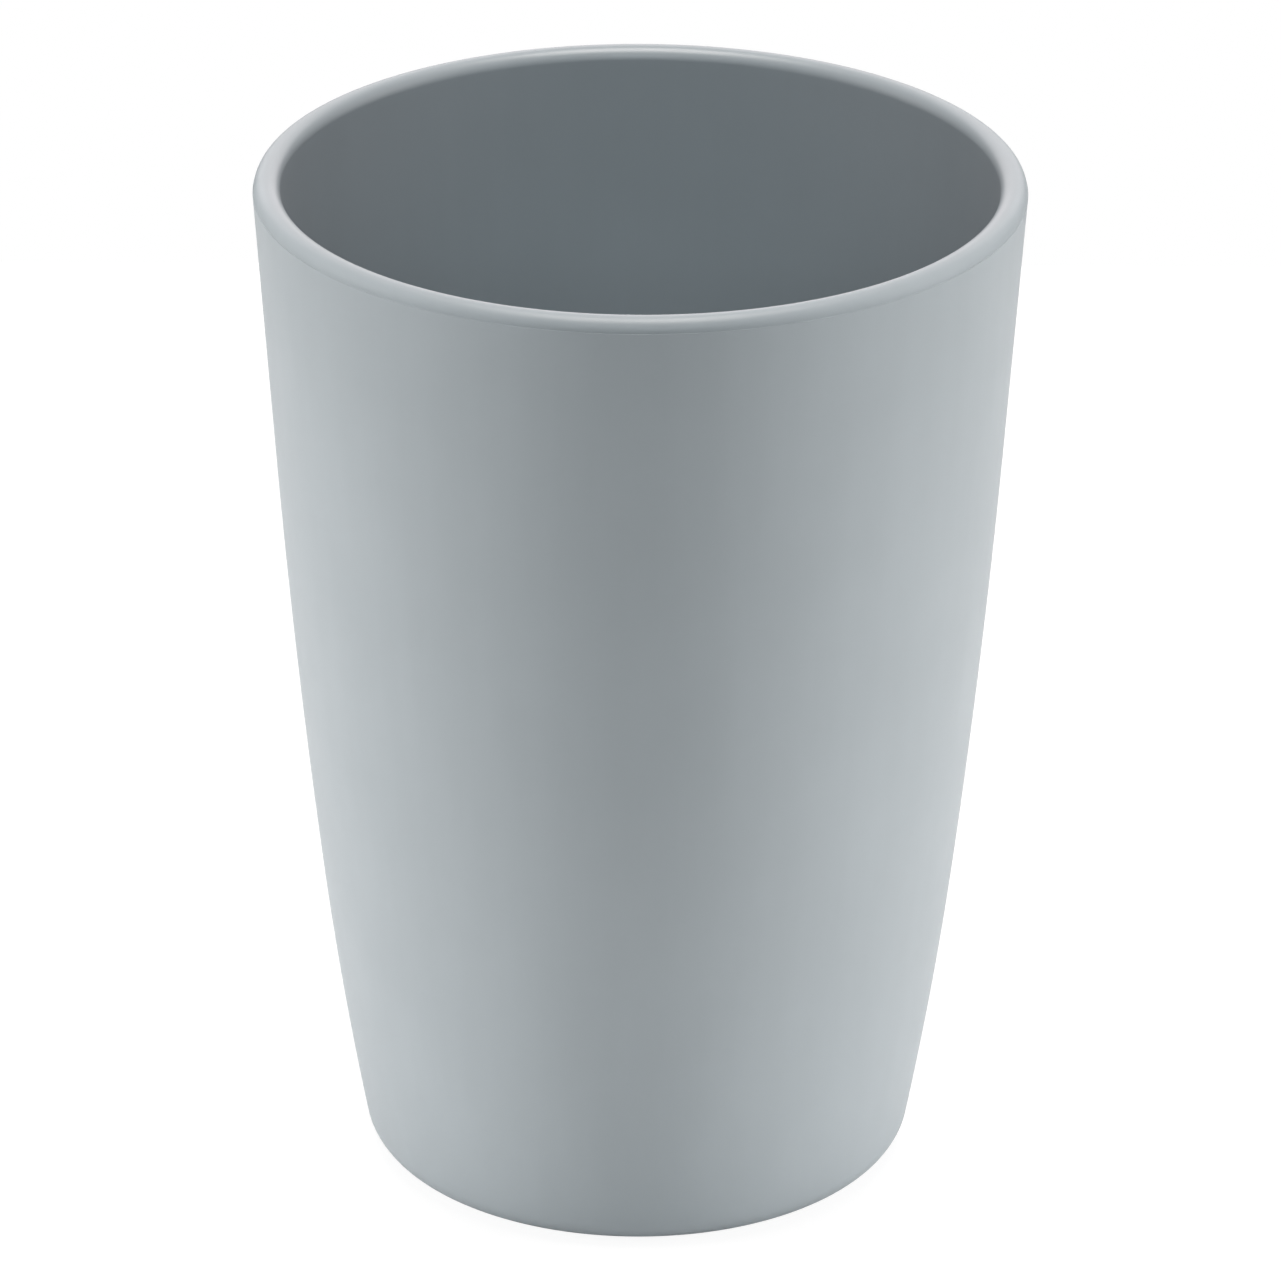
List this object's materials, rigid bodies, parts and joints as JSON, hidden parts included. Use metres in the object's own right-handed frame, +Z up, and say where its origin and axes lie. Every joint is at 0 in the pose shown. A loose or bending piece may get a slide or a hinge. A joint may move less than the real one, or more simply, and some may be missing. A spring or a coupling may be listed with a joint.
{
  "type": "bathroom tumbler",
  "caption": "Plain round tumbler with a slightly bowed tapering wall, a full-round lip and a recessed foot, for rinsing or for toothbrushes.",
  "frame": {"origin": "middle of the plane that the foot ring rests on", "axes": "+Z up along the cup's axis, from the foot to the lip. The cup is round, so +X and +Y are any two level directions square to each other"},
  "size_m": [0.08, 0.08, 0.11],
  "materials": {
    "cup_plastic": "satin light blue-grey moulded plastic, the same inside and out"
  },
  "bodies": {
    "root": {"cup_body": "cup_plastic"}
  },
  "joints": []
}
